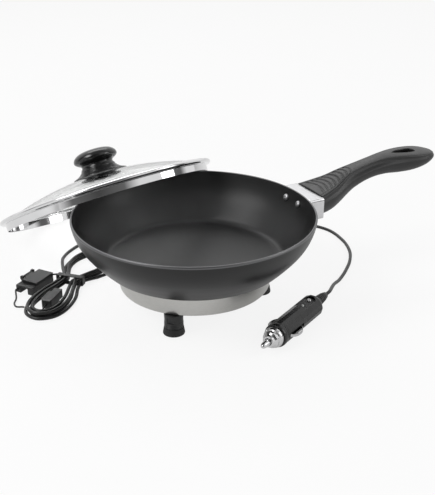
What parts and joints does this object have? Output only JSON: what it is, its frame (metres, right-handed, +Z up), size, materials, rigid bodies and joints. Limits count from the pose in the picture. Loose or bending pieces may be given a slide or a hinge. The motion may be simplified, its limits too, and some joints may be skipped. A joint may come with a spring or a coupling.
{
  "type": "electric skillet",
  "caption": "Round electric skillet: non-stick pan on a heated base with feet, long side handle, lift-off domed glass lid with knob leaning on it, tied cord with vehicle plug.",
  "frame": {"origin": "centre of the cooking surface inside the pan", "axes": "+X out along the handle, +Y to the back left of the pan where the lid leans, +Z up"},
  "size_m": [0.4618, 0.3987, 0.1246],
  "materials": {
    "pan_coating": "satin non-stick coating",
    "brushed_steel": "brushed",
    "fixing_steel": "plain",
    "handle_alloy": "brushed",
    "grip_plastic": "matt",
    "knob_plastic": "gloss",
    "foot_rubber": "matt",
    "lid_glass": "clear",
    "polished_steel": "polished",
    "white_ceramic": "glazed ceramic",
    "insulation_fibre": "pressed mineral fibre",
    "cord_jacket": "satin PVC",
    "plug_plastic": "satin",
    "fuse_amber": "translucent",
    "lamp_lens": "clear lens"
  },
  "bodies": {
    "skillet": {"pan_shell": "pan_coating", "rivet_left": "fixing_steel", "rivet_right": "fixing_steel", "handle_bracket": "fixing_steel", "handle_ferrule": "handle_alloy", "handle_grip": "grip_plastic", "handle_screw": "fixing_steel", "base_band": "brushed_steel", "base_cover": "fixing_steel", "clamp_plate": "fixing_steel", "insulation_board": "insulation_fibre", "centre_spacer": "fixing_steel", "centre_screw": "fixing_steel", "heating_element": "fixing_steel", "thermostat": "white_ceramic", "terminal_block": "white_ceramic", "terminal_screw_a": "fixing_steel", "terminal_screw_b": "fixing_steel", "element_lead_a": "cord_jacket", "element_lead_b": "cord_jacket", "thermostat_lead": "cord_jacket", "cord_gland": "foot_rubber", "foot_leg_a": "plug_plastic", "foot_leg_b": "plug_plastic", "foot_leg_c": "plug_plastic", "foot_pad_a": "foot_rubber", "foot_pad_b": "foot_rubber", "foot_pad_c": "foot_rubber", "foot_screw_a": "fixing_steel", "foot_screw_b": "fixing_steel", "foot_screw_c": "fixing_steel", "cord_base": "cord_jacket", "cord_hank": "cord_jacket", "cord_plug": "cord_jacket", "hank_tie": "foot_rubber", "fuse_holder": "grip_plastic", "blade_fuse": "fuse_amber", "holder_lead": "cord_jacket", "holder_wire": "cord_jacket", "coupler_block": "grip_plastic", "coupler_lead": "cord_jacket", "plug_shell_top": "plug_plastic", "plug_shell_base": "plug_plastic", "plug_collar": "plug_plastic", "plug_nose_ring": "polished_steel", "tip_spring": "polished_steel", "plug_screw": "fixing_steel", "plug_lamp": "lamp_lens", "plug_relief": "foot_rubber"},
    "lid": {"lid_glass": "lid_glass", "lid_rim": "polished_steel", "knob_skirt": "grip_plastic", "lid_knob": "knob_plastic", "knob_washer": "fixing_steel", "knob_screw": "fixing_steel"},
    "tip": {"plug_tip": "polished_steel", "plug_fuse": "polished_steel"},
    "cap": {"fuse_cap": "grip_plastic"},
    "left_contact": {"contact_left": "polished_steel"},
    "right_contact": {"contact_right": "polished_steel"}
  },
  "joints": [
    {"name": "lid_lift", "type": "slide", "parent": "skillet", "child": "lid", "axis": [0, 0, 1], "range_m": [0, 0.16]},
    {"name": "tip_press", "type": "slide", "parent": "skillet", "child": "tip", "axis": [0.895, 0.4461, 0], "range_m": [0, 0.003], "stiffness_N_per_m": 400, "springref_m": -0.004, "deforming": ["tip_spring"]},
    {"name": "left_contact_press", "type": "hinge", "parent": "skillet", "child": "left_contact", "pos_m": [0.02647, -0.1094, -0.0354], "axis": [0, 0, -1], "range_deg": [0, 5], "stiffness_Nm_per_rad": 0.08, "springref_deg": -5.73},
    {"name": "right_contact_press", "type": "hinge", "parent": "skillet", "child": "right_contact", "pos_m": [0.03166, -0.11979, -0.0354], "axis": [0, 0, 1], "range_deg": [0, 5], "stiffness_Nm_per_rad": 0.08, "springref_deg": -5.73},
    {"name": "fuse_cap_turn", "type": "hinge", "parent": "skillet", "child": "cap", "pos_m": [-0.1356, 0.11838, -0.0373], "axis": [-0.8387, -0.5446, 0], "range_deg": [0, 100]}
  ]
}
